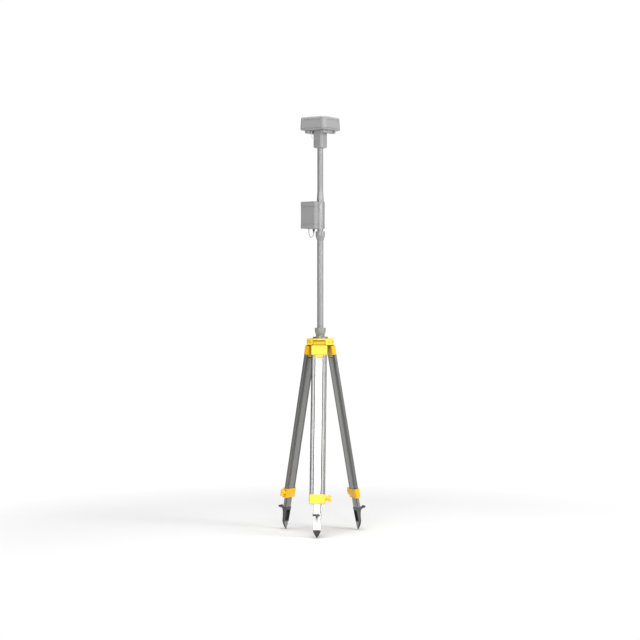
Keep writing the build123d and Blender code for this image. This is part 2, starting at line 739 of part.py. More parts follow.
def box_cable():
    """Loop from the plug to the gland, one piece with the plug."""
    low = BOX_BOTTOM - PLUG_TOP_GAP
    start = low - 12
    drop = BOX_BOTTOM - CABLE_DROP
    mid = (PORT_X + GLAND_X) / 2
    half = (PORT_X - GLAND_X) / 2
    down = Line((PORT_X, 0, start), (PORT_X, 0, drop))
    bend = ThreePointArc((PORT_X, 0, drop), (mid, 0, drop - half), (GLAND_X, 0, drop))
    up = Line((GLAND_X, 0, drop), (GLAND_X, 0, BOX_BOTTOM + 5))
    path = Wire([down.edge(), bend.edge(), up.edge()])
    section = Plane(origin=(PORT_X, 0, start), z_dir=(0, 0, -1)) * Circle(CABLE_R)
    body = sweep(section, path=path)
    plug = disc(PORT_BORE_R, low - 1, BOX_BOTTOM + 3)
    plug += disc(PLUG_R, low - 9, low)
    plug += Pos(0, 0, low - 16) * Cone(CABLE_R + 0.6, PLUG_R - 1.0, 7,
                                       align=(Align.CENTER, Align.CENTER, Align.MIN))
    return body + Pos(PORT_X, 0, 0) * plug


def box_power_button():
    inner = BOX_OUT + BOX_RECESS + BOX_WALL
    cap = bar_x(0, BOX_BUTTON_Z, BUTTON_R, BOX_OUT - 0.6, inner + 0.1)
    return cap + bar_x(0, BOX_BUTTON_Z, BUTTON_R + 2, inner + 0.1, inner + 1.6)


# ---- receiver ----
def radome_cover():
    z_low = SEAL_Z + SEAL_T
    height = COVER_TOP - z_low
    slope = math.degrees(math.atan((HEAD_SIDE - HEAD_TOP_SIDE) / 2 / height))
    plan = Pos(0, 0, z_low) * RectangleRounded(HEAD_SIDE, HEAD_SIDE, HEAD_CORNER_R)
    body = extrude(plan, amount=height, taper=slope)
    body = fillet(edges_at(body, COVER_TOP), COVER_EDGE_R)
    side = HEAD_SIDE - 2 * COVER_WALL
    inner_plan = Pos(0, 0, z_low) * RectangleRounded(side, side, HEAD_CORNER_R - COVER_WALL)
    inner = extrude(inner_plan, amount=height - COVER_WALL, taper=slope)
    inner = fillet(edges_at(inner, COVER_TOP - COVER_WALL), COVER_EDGE_R - 3)
    body -= inner
    middle_z = (PANEL_BOTTOM + PANEL_TOP) / 2
    face = HEAD_SIDE / 2 - (middle_z - z_low) * math.tan(math.radians(slope))
    recess = Box(2 * PANEL_DEPTH, 2 * PANEL_HALF, PANEL_TOP - PANEL_BOTTOM)
    recess = fillet(recess.edges().filter_by(Axis.X), 5.0)
    recess = Pos(face, 0, middle_z) * Rot(0, -slope, 0) * recess
    for i in range(4):
        body -= around(recess, i * 90)
    for x in (-SCREW_PITCH, SCREW_PITCH):
        for y in (-SCREW_PITCH, SCREW_PITCH):
            boss = disc(BOSS_POST_R, z_low, COVER_TOP - COVER_WALL)
            boss -= disc(HOUSING_SCREW_R, z_low - 1, z_low + 10)
            body += Pos(x, y, 0) * boss
    return body


def lower_housing():
    body = square_pad(HEAD_SIDE, HEAD_CORNER_R, SHELL_BOTTOM, SEAL_Z)
    body = fillet(edges_at(body, SHELL_BOTTOM), SHELL_EDGE_R)
    side = HEAD_SIDE - 2 * SHELL_EDGE_R
    body -= square_pad(side, HEAD_CORNER_R - SHELL_WALL, SHELL_BOTTOM + SHELL_WALL, SEAL_Z + 1)
    # grooved hangers for the two battery cassettes
    for side in (-1, 1):
        for y in (-RAIL_Y, RAIL_Y):
            x_low, x_high = sorted((side * (BATTERY_NEAR + 1), side * (BATTERY_FAR - 6)))
            body += block(x_low, x_high, y - RAIL_STEM_W / 2, y + RAIL_STEM_W / 2,
                          SHELL_BOTTOM - RAIL_DROP, SHELL_BOTTOM + 1)
            body += block(x_low, x_high, y - RAIL_HEAD_W / 2, y + RAIL_HEAD_W / 2,
                          SHELL_BOTTOM - RAIL_DROP, SHELL_BOTTOM - RAIL_DROP + 2)
    body -= disc(WIRE_HOLE_R, SHELL_BOTTOM - 1, SHELL_BOTTOM + SHELL_WALL + 1)
    for x in (-SCREW_PITCH, SCREW_PITCH):
        for y in (-SCREW_PITCH, SCREW_PITCH):
            body += Pos(x, y, 0) * disc(BOSS_POST_R, SHELL_BOTTOM + 1, SEAL_Z)
            body -= Pos(x, y, 0) * disc(HOUSING_SCREW_R, SHELL_BOTTOM - 1, SEAL_Z + 1)
            body -= Pos(x, y, 0) * disc(SCREW_HEAD_R, SHELL_BOTTOM - 1, SHELL_BOTTOM + 4)
    return body


def housing_screws():
    screws = []
    for x in (-SCREW_PITCH, SCREW_PITCH):
        for y in (-SCREW_PITCH, SCREW_PITCH):
            body = disc(HOUSING_SCREW_R, SHELL_BOTTOM + 4, SEAL_Z + SEAL_T + 8)
            body += disc(SCREW_HEAD_R, SHELL_BOTTOM + 1, SHELL_BOTTOM + 4)
            socket = Pos(0, 0, SHELL_BOTTOM + 1) * RegularPolygon(1.6, 6)
            body -= extrude(socket, amount=1.6, both=True)
            screws.append(Pos(x, y, 0) * body)
    return group(screws)


def housing_seal():
    outer = square_pad(HEAD_SIDE - 2.4, HEAD_CORNER_R - 1.2, SEAL_Z, SEAL_Z + SEAL_T)
    inner_side = HEAD_SIDE - 2 * COVER_WALL
    return outer - square_pad(inner_side, HEAD_CORNER_R - COVER_WALL, SEAL_Z - 1, SEAL_Z + 3)


def ground_plane():
    body = square_pad(GROUND_SIDE, 30.0, GROUND_Z, GROUND_Z + 2.0)
    for x in (-GROUND_POST, GROUND_POST):
        for y in (-GROUND_POST, GROUND_POST):
            body += Pos(x, y, 0) * disc(4.0, SHELL_BOTTOM + SHELL_WALL, GROUND_Z)
    return body


def antenna_patch():
    base = disc(PATCH_R, GROUND_Z + 2.0, GROUND_Z + 10.0)
    return base + disc(30.0, GROUND_Z + 10.0, GROUND_Z + 16.0)


def main_board():
    z = SHELL_BOTTOM + SHELL_WALL + 4
    body = square_pad(BOARD_SIDE, 6.0, z, z + 1.8)
    for x, y, size in ((-24, 20, 12), (18, 18, 10), (14, -22, 14), (-26, -18, 9)):
        body += block(x - size, x + size, y - size, y + size, z + 1.8, z + 4.4)
    for x in (-BOARD_POST, BOARD_POST):
        for y in (-BOARD_POST, BOARD_POST):
            body += Pos(x, y, 0) * disc(3.0, SHELL_BOTTOM + SHELL_WALL, z)
    return body


def neck_housing():
    body = square_pad(NECK_SIDE, NECK_CORNER_R, NECK_BOTTOM, SHELL_BOTTOM)
    body = fillet(edges_at(body, NECK_BOTTOM), NECK_EDGE_R)
    side = NECK_SIDE - 2 * NECK_WALL
    body -= square_pad(side, NECK_CORNER_R - NECK_WALL, NECK_BOTTOM + 5, SHELL_BOTTOM - 2)
    body -= disc(WIRE_HOLE_R, SHELL_BOTTOM - 3, SHELL_BOTTOM + 1)
    body += disc(INSERT_R + 4, NECK_BOTTOM + 4, INSERT_TOP)
    body -= disc(INSERT_R, INSERT_BOTTOM, INSERT_TOP + 1)
    body -= disc(SCREW_R + 0.8, NECK_BOTTOM - 1, INSERT_TOP)
    wall = NECK_SIDE / 2
    body -= bar_y(0, BUTTON_Z, BUTTON_R + 0.1, wall - NECK_WALL - 1, wall + 1)
    body -= block(-LENS_W / 2, LENS_W / 2, wall - 1.6, wall + 1, LENS_Z - LENS_H / 2, LENS_Z + LENS_H / 2)
    body -= bar_y(CABLE_ENTRY_X, CABLE_ENTRY_Z, 2.8, -wall - 1, -wall + NECK_WALL + 1)
    return body


def power_button():
    wall = NECK_SIDE / 2
    cap = bar_y(0, BUTTON_Z, BUTTON_R, wall - NECK_WALL, wall + 1.6)
    cap = fillet(cap.edges().filter_by(GeomType.CIRCLE).sort_by(Axis.Y)[-1:], 0.7)
    cap += bar_y(0, BUTTON_Z, BUTTON_R, wall - NECK_WALL - 0.2, wall - NECK_WALL)
    return cap + bar_y(0, BUTTON_Z, BUTTON_R + 2, wall - NECK_WALL - 1.6, wall - NECK_WALL - 0.1)


def status_lens():
    wall = NECK_SIDE / 2
    return block(-LENS_W / 2, LENS_W / 2, wall - 1.6, wall + 0.2, LENS_Z - LENS_H / 2, LENS_Z + LENS_H / 2)


def thread_insert():
    return ring(INSERT_R, SCREW_HOLE_R, INSERT_BOTTOM, INSERT_TOP)


def battery(side):
    x_low, x_high = sorted((side * BATTERY_NEAR, side * BATTERY_FAR))
    top = SHELL_BOTTOM - BATTERY_GAP
    body = pad(x_low, x_high, -BATTERY_HALF_Y, BATTERY_HALF_Y, BATTERY_BOTTOM, top, 9.0)
    body = fillet(edges_at(body, BATTERY_BOTTOM), 6.0)
    gap = 0.3
    for y in (-RAIL_Y, RAIL_Y):
        body -= block(x_low - 1, x_high + 1, y - RAIL_STEM_W / 2 - gap, y + RAIL_STEM_W / 2 + gap,
                      SHELL_BOTTOM - RAIL_DROP, SHELL_BOTTOM)
        body -= block(x_low - 1, x_high + 1, y - RAIL_HEAD_W / 2 - gap, y + RAIL_HEAD_W / 2 + gap,
                      SHELL_BOTTOM - RAIL_DROP - gap, SHELL_BOTTOM - RAIL_DROP + 2 + gap)
    # finger notch in the outer face, with its catch
    y_low, y_high = sorted(side * y for y in NOTCH_Y)
    x_low, x_high = sorted((side * (BATTERY_FAR - NOTCH_DEPTH), side * (BATTERY_FAR + 1)))
    body -= block(x_low, x_high, y_low, y_high, BATTERY_BOTTOM - 1, top + 1)
    x_low, x_high = sorted((side * (BATTERY_FAR - NOTCH_DEPTH - 1), side * (BATTERY_FAR - 1.5)))
    return body + block(x_low, x_high, y_low + 4, y_high - 4, BATTERY_BOTTOM + 5, BATTERY_BOTTOM + 9)


def receiver_cable():
    """Short cable that leaves the head's underside and bows out into the neck's wall."""
    wall = -NECK_SIDE / 2
    start = (CABLE_BELLY_X + 3, CABLE_BELLY_Y - 2, SHELL_BOTTOM)
    belly = (CABLE_BELLY_X, CABLE_BELLY_Y, CABLE_ENTRY_Z + 16)
    low = (CABLE_BELLY_X + 4, CABLE_BELLY_Y + 3, CABLE_ENTRY_Z + 2)
    end = (CABLE_ENTRY_X, wall + 1.5, CABLE_ENTRY_Z)
    path = Spline(start, belly, low, end, tangents=((0, 0, -1), (0, 1, 0)))
    section = Plane(origin=start, z_dir=(0, 0, -1)) * Circle(CABLE_HALF_T)
    return sweep(section, path=path)


# ---- write every node ----
os.makedirs("parts", exist_ok=True)


def write(name, shape):
    export_step(shape, "parts/" + name + ".step")


write("tripod_head", tripod_head())
write("hinge_pins", hinge_pins())
write("screw_plate", screw_plate())
write("fixing_screw", fixing_screw())
write("fixing_knob", fixing_knob())

LEG_NODES = {
    "hinge_block": hinge_block(),
    "inner_leg": inner_leg(),
    "clamp_block": clamp_block(),
    "lock_screw": lock_screw(),
    "shoe": shoe(),
    "tip": shoe_tip(),
}
for leg, angle in LEG_ANGLES.items():
    for name, shape in LEG_NODES.items():
        write("leg_" + leg + "_" + name, leg_place(shape, angle))
    write("leg_" + leg + "_rails", group([leg_place(rail(-1), angle), leg_place(rail(1), angle)]))

write("mast_flange", mast_flange())
write("mast_socket", mast_socket())
write("lower_mast_tube", lower_mast_tube())
write("mast_collet", mast_collet())
write("mast_collar", mast_collar())
write("upper_mast_tube", upper_mast_tube())
write("mast_guide_bush", mast_guide_bush())
write("mast_sleeve", mast_sleeve())
write("mast_top_stud", mast_top_stud())

write("box_case", box_case())
write("box_top_cap", box_top_cap())
write("box_bottom_cap", box_bottom_cap())
write("box_gaskets", box_gaskets())
write("box_clamp_rings", box_clamp_rings())
write("box_clamp_screws", box_clamp_screws())
write("box_circuit_board", box_circuit_board())
write("box_battery", box_battery())
write("box_ports", box_ports())
write("box_cable", box_cable())
write("box_power_button", box_power_button())

write("radome_cover", radome_cover())
write("lower_housing", lower_housing())
write("housing_screws", housing_screws())
write("housing_seal", housing_seal())
write("ground_plane", ground_plane())
write("antenna_patch", antenna_patch())
write("main_board", main_board())
write("neck_housing", neck_housing())
write("power_button", power_button())
write("status_lens", status_lens())
write("thread_insert", thread_insert())
write("battery_left", battery(-1))
write("battery_right", battery(1))
write("receiver_cable", receiver_cable())
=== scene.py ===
import bmesh
import bpy
import json
import math
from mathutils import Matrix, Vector


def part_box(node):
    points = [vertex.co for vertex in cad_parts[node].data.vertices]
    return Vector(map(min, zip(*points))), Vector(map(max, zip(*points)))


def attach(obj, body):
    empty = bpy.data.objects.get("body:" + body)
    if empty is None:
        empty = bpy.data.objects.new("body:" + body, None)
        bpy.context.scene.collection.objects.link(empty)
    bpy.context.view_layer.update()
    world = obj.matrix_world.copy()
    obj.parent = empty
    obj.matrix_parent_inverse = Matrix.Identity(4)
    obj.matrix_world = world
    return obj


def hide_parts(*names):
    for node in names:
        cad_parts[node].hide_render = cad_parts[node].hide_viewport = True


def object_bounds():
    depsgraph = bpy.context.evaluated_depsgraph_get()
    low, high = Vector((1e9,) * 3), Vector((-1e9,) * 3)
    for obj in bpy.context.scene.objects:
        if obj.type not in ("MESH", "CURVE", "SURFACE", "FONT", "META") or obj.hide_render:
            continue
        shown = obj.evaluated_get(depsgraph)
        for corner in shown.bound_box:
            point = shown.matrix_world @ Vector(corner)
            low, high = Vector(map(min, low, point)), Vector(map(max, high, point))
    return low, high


# A survey receiver on its mast and tripod. The CAD frame gives the shapes and sizes. This script gives
# the surfaces, the two cables, the studio floor, the lights and the camera. Metres, +Z up.

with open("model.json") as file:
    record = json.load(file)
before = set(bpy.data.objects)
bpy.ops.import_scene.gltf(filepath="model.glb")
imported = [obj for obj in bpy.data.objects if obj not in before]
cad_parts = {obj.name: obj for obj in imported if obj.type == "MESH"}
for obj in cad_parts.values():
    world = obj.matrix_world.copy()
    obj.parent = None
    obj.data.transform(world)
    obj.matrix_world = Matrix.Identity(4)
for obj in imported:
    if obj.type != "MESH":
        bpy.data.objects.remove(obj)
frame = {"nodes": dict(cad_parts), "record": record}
cad_low, cad_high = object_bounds()
NODES = frame["nodes"]
RECORD = frame["record"]
scene = bpy.context.scene

MM = 0.001

# ---- legs: their directions in degrees, for grain that runs along them ----
LEG_ANGLES = {"a": -60.0, "b": 60.0, "c": 180.0}
LEG_LEAN = 10.2
# how far out from the mast axis, square to the leg, the shoe ends and its tread begins
SHOE_FRONT = 72.0 * MM
TREAD_BLEND = 8.0 * MM

# ---- camera ----
CAMERA_AZIMUTH = 34.5
CAMERA_PITCH = -0.65
CAMERA_DISTANCE = 8.84
CAMERA_HEIGHT = 0.198
CAMERA_SENSOR = 36.0
CAMERA_LENS = 93.83
CAMERA_SHIFT = -0.0004
CAMERA_CLIP = 200.0

# ---- cables ----
TUBE_SIDES = 24
PATH_STEPS = 10
CABLE_RADIUS = 2.6 * MM
HEAD_CABLE_RADIUS = 1.6 * MM
PLUG_LENGTH = 17.0 * MM
PLUG_LIP = 0.6 * MM
PLUG_STEM_INSET = 1.6 * MM
RIB_COUNT = 4
RIB_PITCH = 2.2 * MM
RIB_WIDTH = 1.2 * MM
RIB_GROOVE = 0.3 * MM
RIB_DEPTH = 0.5 * MM
RIB_FIRST = 0.6 * MM
RIB_GROWTH = 0.45 * MM

# ---- studio ----
FLOOR_SIZE = 40.0
FLOOR_FADE_START = 0.9
FLOOR_FADE_END = 2.6
PAPER_WHITE = 1.02
# strength of the grey room to the left, to the right and overhead
WORLD_LEFT = 0.08
WORLD_RIGHT = 0.30
WORLD_TOP = 0.36
WORLD_BRIGHT_SIDE = CAMERA_AZIMUTH + 75.0
WORLD_SIDE_SPAN = (-0.8, 0.9)
WORLD_TOP_SPAN = (0.1, 0.9)
# name, azimuth, elevation, distance, width, height, power, height aimed at
SOFTBOXES = (
    ("front_softbox", 24, 16, 6.5, 2.5, 2.1, 138, -0.5),
    ("strip_softbox", 44, 10, 6.0, 0.34, 4.2, 44, 0.3),
    ("right_softbox", 94, 16, 5.0, 2.2, 3.4, 143, 0.2),
    ("top_softbox", 20, 84, 5.0, 1.8, 1.8, 175, 0.0),
)

# ---- shading ----
NOISE_ROUGHNESS = 0.55
EDGE_SPREAD = 0.35
SHADER_SAMPLES = 6


def srgb(red, green=None, blue=None):
    """Linear colour from 0 to 255 display values; one value alone is a grey."""
    if green is None:
        green = blue = red
    out = []
    for value in (red, green, blue):
        level = value / 255
        out.append(level / 12.92 if level <= 0.04045 else ((level + 0.055) / 1.055) ** 2.4)
    return (*out, 1.0)


# ---- shader building ----
class Shader:
    """One material's node tree, with short calls for the nodes used here."""

    def __init__(self, name, leg=None):
        self.material = bpy.data.materials.new(name)
        self.material.use_nodes = True
        self.tree = self.material.node_tree
        self.surface = self.tree.nodes["Principled BSDF"]
        self.position = self.add("ShaderNodeTexCoord").outputs["Object"]
        self.leg = leg
        if leg:
            self.position = self.along_leg(self.position)

    def add(self, kind, inputs=None, **settings):
        node = self.tree.nodes.new(kind)
        for name, value in settings.items():
            setattr(node, name, value)
        for name, value in (inputs or {}).items():
            self.feed(node, name, value)
        return node

    def feed(self, node, name, value):
        if isinstance(value, bpy.types.NodeSocket):
            self.tree.links.new(value, node.inputs[name])
        else:
            node.inputs[name].default_value = value

    def set(self, **inputs):
        for name, value in inputs.items():
            self.feed(self.surface, name.replace("_", " "), value)

    def along_leg(self, vector):
        """The vector in a frame with z along this material's leg and x outward."""
        turned = self.add("ShaderNodeVectorRotate", {
            "Vector": vector, "Angle": -math.radians(LEG_ANGLES[self.leg])}, rotation_type="Z_AXIS")
        leaned = self.add("ShaderNodeVectorRotate", {
            "Vector": turned.outputs[0], "Angle": math.radians(LEG_LEAN)}, rotation_type="Y_AXIS")
        return leaned.outputs[0]

    def stretched(self, x, y, z):
        mapping = self.add("ShaderNodeMapping", {"Vector": self.position, "Scale": (x, y, z)})
        return mapping.outputs[0]

    def noise(self, size, detail=3.0, vector=None):
        """Noise whose blotches are about size metres wide."""
        node = self.add("ShaderNodeTexNoise", {
            "Vector": vector or self.position, "Scale": 1 / size, "Detail": detail,
            "Roughness": NOISE_ROUGHNESS})
        return node.outputs["Fac"]

    def cells(self, size, feature="F1"):
        """Distances in a net of cells about size metres wide."""
        node = self.add("ShaderNodeTexVoronoi", {
            "Vector": self.position, "Scale": 1 / size}, feature=feature)
        return node.outputs["Distance"]

    def grain_along_z(self, size, length=60.0, detail=2.0):
        """Streaks size metres wide and length times as long, along z."""
        return self.noise(size, detail, self.stretched(1, 1, 1 / length))

    def rings(self, size):
        """Fine turning marks around a vertical axis."""
        return self.noise(size, 2.0, self.stretched(0.02, 0.02, 1))

    def remap(self, value, low, high, to_low, to_high):
        node = self.add("ShaderNodeMapRange", {
            "Value": value, "From Min": low, "From Max": high, "To Min": to_low, "To Max": to_high})
        return node.outputs[0]

    def calc(self, operation, a, b=0.0):
        node = self.add("ShaderNodeMath", {0: a, 1: b}, operation=operation, use_clamp=True)
        return node.outputs[0]

    def mix(self, factor, a, b, blend="MIX"):
        node = self.add("ShaderNodeMix", {0: factor, 6: a, 7: b}, data_type="RGBA", blend_type=blend)
        return node.outputs[2]

    def rounded_normal(self, radius):
        return self.add("ShaderNodeBevel", {"Radius": radius}, samples=SHADER_SAMPLES).outputs[0]

    def edges(self, radius):
        """One along sharp edges, zero on faces."""
        rounded = self.rounded_normal(radius)
        true = self.add("ShaderNodeNewGeometry").outputs["Normal"]
        dot = self.add("ShaderNodeVectorMath", {0: rounded, 1: true}, operation="DOT_PRODUCT")
        return self.remap(dot.outputs["Value"], 1.0 - EDGE_SPREAD, 1.0, 1.0, 0.0)

    def hollows(self, distance):
        """One in corners and gaps, zero in the open."""
        node = self.add("ShaderNodeAmbientOcclusion", {"Distance": distance}, samples=SHADER_SAMPLES)
        return self.remap(node.outputs["AO"], 0.25, 0.9, 1.0, 0.0)

    def bumps(self, heights, radius=0.4 * MM):
        """Stack of (height, strength, distance) bumps on slightly rounded edges."""
        normal = self.rounded_normal(radius)
        for height, strength, distance in heights:
            node = self.add("ShaderNodeBump", {
                "Height": height, "Strength": strength, "Distance": distance, "Normal": normal})
            normal = node.outputs[0]
        self.feed(self.surface, "Normal", normal)


# ---- materials ----
def facing(s, outward, low, high):
    """One on faces that look out from the mast (outward 1) or in towards it (-1), seen along the leg."""
    normal = s.add("ShaderNodeNewGeometry").outputs["Normal"]
    space = s.add("ShaderNodeVectorTransform", {"Vector": normal},
                  vector_type="NORMAL", convert_from="WORLD", convert_to="OBJECT")
    turned = s.along_leg(space.outputs[0])
    dot = s.add("ShaderNodeVectorMath", {0: turned, 1: (outward, 0, 0)}, operation="DOT_PRODUCT")
    return s.remap(dot.outputs["Value"], low, high, 0.0, 1.0)


def yellow_enamel(leg=None):
    """Thick yellow paint on castings: orange peel, painted shade in hollows, chips on edges, painted shade
    on the leg sides as a deeper orange.
    """
    s = Shader("yellow_enamel", leg)
    tone = s.mix(s.noise(25 * MM), srgb(252, 217, 60), srgb(248, 209, 44))
    if leg:
        # painted shade: on the legs, faces that do not look outward get a deeper orange
        outward = facing(s, 1, 0.3, 0.8)
        sides = s.mix(s.noise(20 * MM), srgb(237, 185, 18), srgb(228, 174, 12))
        tone = s.mix(outward, sides, tone)
    # painted shade: corners and gaps darkened towards dark brown, broken up by noise
    painted_hollow_shade = s.calc("MULTIPLY", s.hollows(30 * MM), s.remap(s.noise(4 * MM), 0.3, 0.7, 0.8, 1.0))
    tone = s.mix(s.calc("MULTIPLY", painted_hollow_shade, 0.9), tone, srgb(80, 52, 6))
    chips = s.calc("MULTIPLY", s.edges(0.8 * MM), s.remap(s.noise(2.2 * MM, 5), 0.56, 0.62, 0.0, 1.0))
    s.set(Base_Color=s.mix(chips, tone, srgb(120, 118, 112)),
          Metallic=s.calc("MULTIPLY", chips, 0.6),
          Roughness=s.remap(s.noise(6 * MM, 4), 0.3, 0.7, 0.26, 0.42),
          Specular_IOR_Level=0.3, Coat_Weight=0.04, Coat_Roughness=0.2)
    s.bumps([(s.noise(1.6 * MM, 2), 0.10, 0.25 * MM), (chips, -0.35, 0.2 * MM)], 0.7 * MM)
    return s.material


def yellow_plastic(leg=None):
    """Moulded knobs: fine spark texture, rubbed lighter on the grips."""
    s = Shader("yellow_plastic", leg)
    rubbed_and_lit = s.calc("MULTIPLY", s.edges(1.5 * MM), s.noise(3 * MM))
    tone = s.mix(s.noise(9 * MM), srgb(252, 200, 20), srgb(245, 188, 12))
    s.set(Base_Color=s.mix(rubbed_and_lit, tone, srgb(255, 226, 110)),
          Roughness=s.remap(s.noise(1.2 * MM), 0.3, 0.7, 0.38, 0.52),
          Subsurface_Weight=0.05)
    s.bumps([(s.noise(0.5 * MM, 2), 0.25, 0.06 * MM)], 1.0 * MM)
    return s.material


def extruded_aluminium(name, tone, worn_tone, roughness, leg):
    """Anodised extrusion: drawn lines along it, rubbed edges, a few long scratches."""
    s = Shader(name, leg)
    lines = s.grain_along_z(0.35 * MM)
    broad = s.grain_along_z(3 * MM, 40)
    worn = s.calc("MULTIPLY", s.edges(0.7 * MM), s.remap(s.noise(12 * MM, 4), 0.35, 0.65, 0.2, 1.0))
    scratch = s.remap(s.noise(0.5 * MM, 1, s.stretched(1, 1, 0.012)), 0.70, 0.76, 0.0, 1.0)
    # dust and painted shade: hollows and gaps darkened and made rougher
    dust_and_shade = s.calc("MULTIPLY", s.hollows(4 * MM), 0.5)
    colour = s.mix(broad, tone, tuple(0.88 * c for c in tone[:3]) + (1.0,))
    colour = s.mix(s.calc("MAXIMUM", worn, s.calc("MULTIPLY", scratch, 0.35)), colour, worn_tone)
    colour = s.mix(dust_and_shade, colour, srgb(70, 68, 62))
    base = s.remap(lines, 0.2, 0.8, roughness - 0.06, roughness + 0.08)
    s.set(Base_Color=colour, Metallic=0.92, Roughness=s.calc("ADD", base, s.calc("MULTIPLY", dust_and_shade, 0.3)),
          Anisotropic=0.4)
    s.bumps([(lines, 0.12, 0.05 * MM), (scratch, -0.2, 0.05 * MM)])
    return s.material


def leg_aluminium(leg=None):
    return extruded_aluminium("leg_aluminium", srgb(122, 122, 121), srgb(186, 186, 184), 0.32, leg)


def inner_leg_aluminium(leg=None):
    return extruded_aluminium("inner_leg_aluminium", srgb(142, 142, 141), srgb(204, 204, 201), 0.26, leg)


def shoe_steel(leg=None):
    """Cast shoe: pebbled grey sides, painted black shade in hollows, a painted highlight that turns the
    outward front near white, a dull tread.
    """
    s = Shader("shoe_steel", leg)
    reach = s.add("ShaderNodeSeparateXYZ", {0: s.position}).outputs["X"]
    tread = s.remap(reach, SHOE_FRONT, SHOE_FRONT + TREAD_BLEND, 0.0, 1.0)
    # painted highlight: the outward face above the tread is painted near white
    rubbed_and_lit = s.calc("MULTIPLY", facing(s, 1, 0.6, 0.9), s.calc("SUBTRACT", 1.0, tread))
    tone = s.mix(s.noise(9 * MM, 4), srgb(104, 103, 101), srgb(90, 89, 87))
    tone = s.mix(rubbed_and_lit, tone, srgb(234, 233, 230))
    worn = s.calc("MULTIPLY", s.edges(1.4 * MM), s.remap(s.noise(5 * MM, 4), 0.4, 0.6, 0.1, 1.0))
    tone = s.mix(s.calc("MULTIPLY", worn, 0.6), tone, srgb(205, 203, 198))
    # painted shade: hollows, the channel inside most of all, are painted near black, less so on the outward
    # face
    painted_black_shade = s.calc("MULTIPLY", s.hollows(32 * MM), s.remap(s.noise(5 * MM), 0.3, 0.7, 0.85, 1.0))
    painted_black_shade = s.calc("MULTIPLY", painted_black_shade, s.remap(rubbed_and_lit, 0.0, 1.0, 1.0, 0.15))
    dull = s.calc("MAXIMUM", painted_black_shade, s.calc("MULTIPLY", tread, 0.8))
    rough = s.remap(s.noise(3 * MM, 4), 0.3, 0.7, 0.28, 0.42)
    s.set(Base_Color=s.mix(painted_black_shade, tone, srgb(10, 10, 10)), Metallic=s.remap(dull, 0.0, 1.0, 0.9, 0.1),
          Roughness=s.calc("ADD", rough, s.calc("MULTIPLY", dull, 0.45)),
          Specular_IOR_Level=s.remap(dull, 0.0, 1.0, 0.5, 0.15))
    s.bumps([(s.noise(1.2 * MM, 3), 0.18, 0.15 * MM)], 1.2 * MM)
    return s.material


def tip_steel(leg=None):
    """Forged steel point: dark scale and streaks outside, a painted highlight on the side to the mast."""
    s = Shader("tip_steel", leg)
    streaks = s.grain_along_z(1.4 * MM, 14, 4)
    rust = s.remap(s.noise(2.5 * MM, 6), 0.60, 0.68, 0.0, 0.5)
    tone = s.mix(s.remap(streaks, 0.35, 0.65, 0.0, 1.0), srgb(34, 34, 34), srgb(102, 101, 100))
    tone = s.mix(rust, tone, srgb(84, 62, 44))
    # painted highlight: faces turned to the mast get a much lighter metal colour
    bright = facing(s, -1, 0.94, 0.98)
    s.set(Base_Color=s.mix(bright, tone, srgb(158, 158, 156)), Metallic=0.85,
          Roughness=s.remap(streaks, 0.3, 0.7, 0.28, 0.5))
    s.bumps([(streaks, 0.3, 0.12 * MM), (s.noise(1.0 * MM, 4), 0.2, 0.1 * MM)], 0.8 * MM)
    return s.material


def mast_paint(name, tone, roughness, coat, coat_roughness):
    """Grey lacquer on a drawn tube: faint draw lines, light handling marks."""
    s = Shader(name)
    lines = s.grain_along_z(0.8 * MM, 80)
    marks = s.remap(s.noise(9 * MM, 5, s.stretched(1, 1, 0.35)), 0.60, 0.72, 0.0, 1.0)
    colour = s.mix(s.noise(60 * MM), tone, tuple(0.93 * c for c in tone[:3]) + (1.0,))
    colour = s.mix(s.calc("MULTIPLY", marks, 0.15), colour, srgb(120, 118, 112))
    worn = s.calc("MULTIPLY", s.edges(0.6 * MM), s.remap(s.noise(4 * MM, 4), 0.45, 0.6, 0.0, 0.8))
    s.set(Base_Color=s.mix(worn, colour, srgb(205, 204, 200)), Metallic=0.12,
          Roughness=s.calc("ADD", s.remap(lines, 0.2, 0.8, roughness - 0.04, roughness + 0.05),
                           s.calc("MULTIPLY", marks, 0.12)),
          Coat_Weight=coat, Coat_Roughness=coat_roughness)
    s.bumps([(lines, 0.05, 0.04 * MM), (s.noise(1.5 * MM), 0.04, 0.08 * MM)], 0.6 * MM)
    return s.material


def mast_grey(leg=None):
    return mast_paint("mast_grey", srgb(140, 140, 142), 0.48, 0.6, 0.09)


def mast_bright(leg=None):
    return mast_paint("mast_bright", srgb(145, 145, 147), 0.40, 1.0, 0.06)


def dark_anodised(leg=None):
    """Turned and anodised rings: fine turning marks, pale worn rims."""
    s = Shader("dark_anodised")
    turning = s.rings(0.3 * MM)
    worn = s.calc("MULTIPLY", s.edges(0.6 * MM), s.remap(s.noise(4 * MM, 4), 0.4, 0.6, 0.1, 0.9))
    tone = s.mix(s.noise(15 * MM), srgb(140, 140, 142), srgb(126, 126, 129))
    s.set(Base_Color=s.mix(worn, tone, srgb(190, 190, 188)),
          Metallic=0.5, Roughness=s.remap(turning, 0.2, 0.8, 0.30, 0.44))
    s.bumps([(turning, 0.12, 0.04 * MM)], 0.5 * MM)
    return s.material


